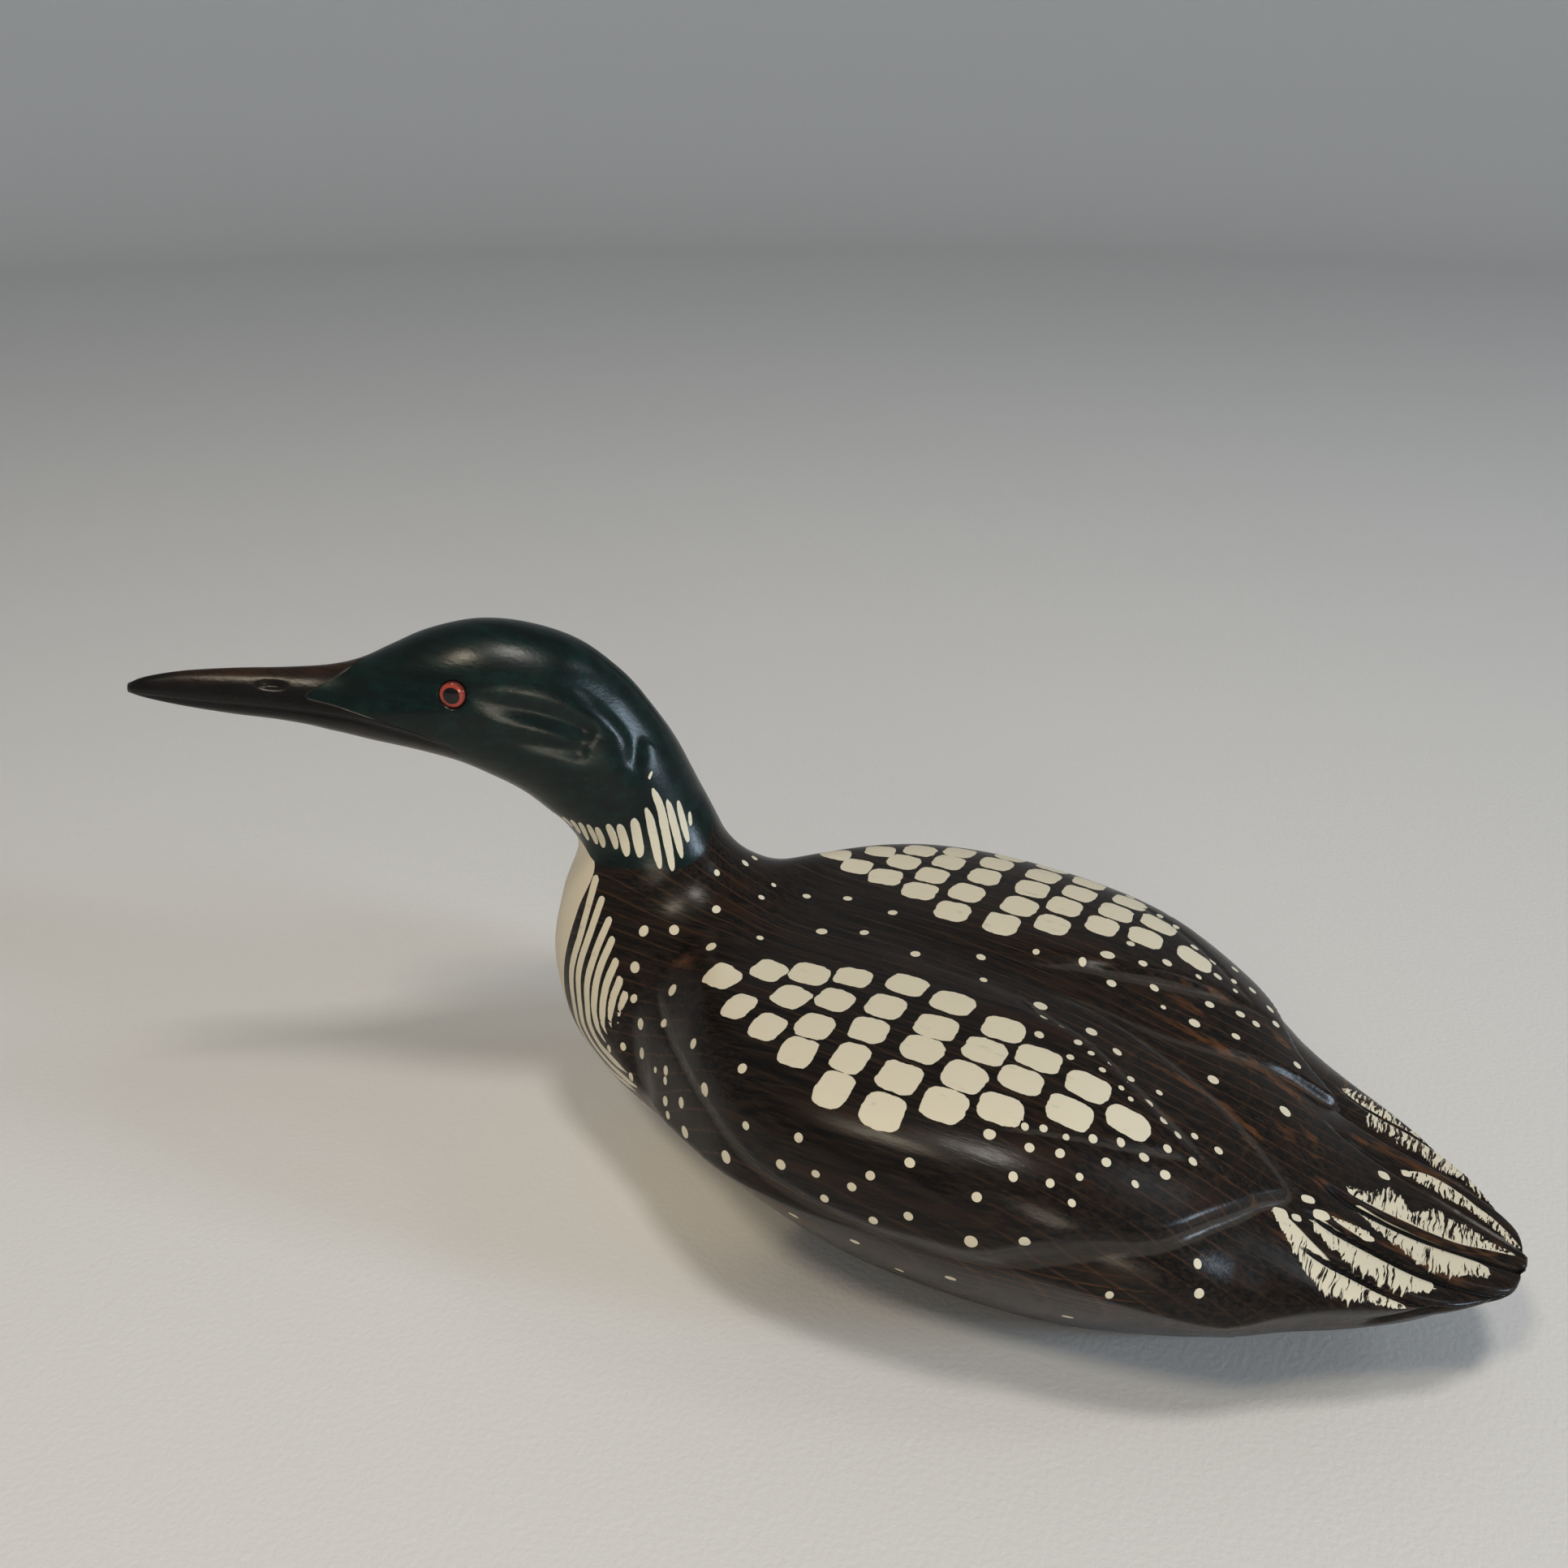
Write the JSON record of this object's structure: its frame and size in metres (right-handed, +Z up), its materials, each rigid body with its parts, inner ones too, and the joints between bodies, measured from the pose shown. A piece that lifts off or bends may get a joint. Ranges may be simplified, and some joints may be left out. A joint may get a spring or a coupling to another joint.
{
  "type": "loon decoy",
  "caption": "Carved wooden loon decoy with a flat underside, its head turned to the left, folded wings cut in relief, and glass eyes set in the head.",
  "frame": {"origin": "centre of the flat underside, on the middle plane of the body", "axes": "+X from the bill to the tail along the body, +Y the bird's right side, +Z up; the head is turned 30 degrees to the bird's left (-Y)"},
  "size_m": [0.429, 0.1813, 0.1934],
  "materials": {
    "stained_wood": "dark stained wood under satin varnish, with painted head, bill, breast and markings",
    "coral_glass_eye": "glossy opaque glass, coral ring round a black pupil"
  },
  "bodies": {
    "root": {"carved_loon": "stained_wood", "left_eye": "coral_glass_eye", "right_eye": "coral_glass_eye"}
  },
  "joints": []
}
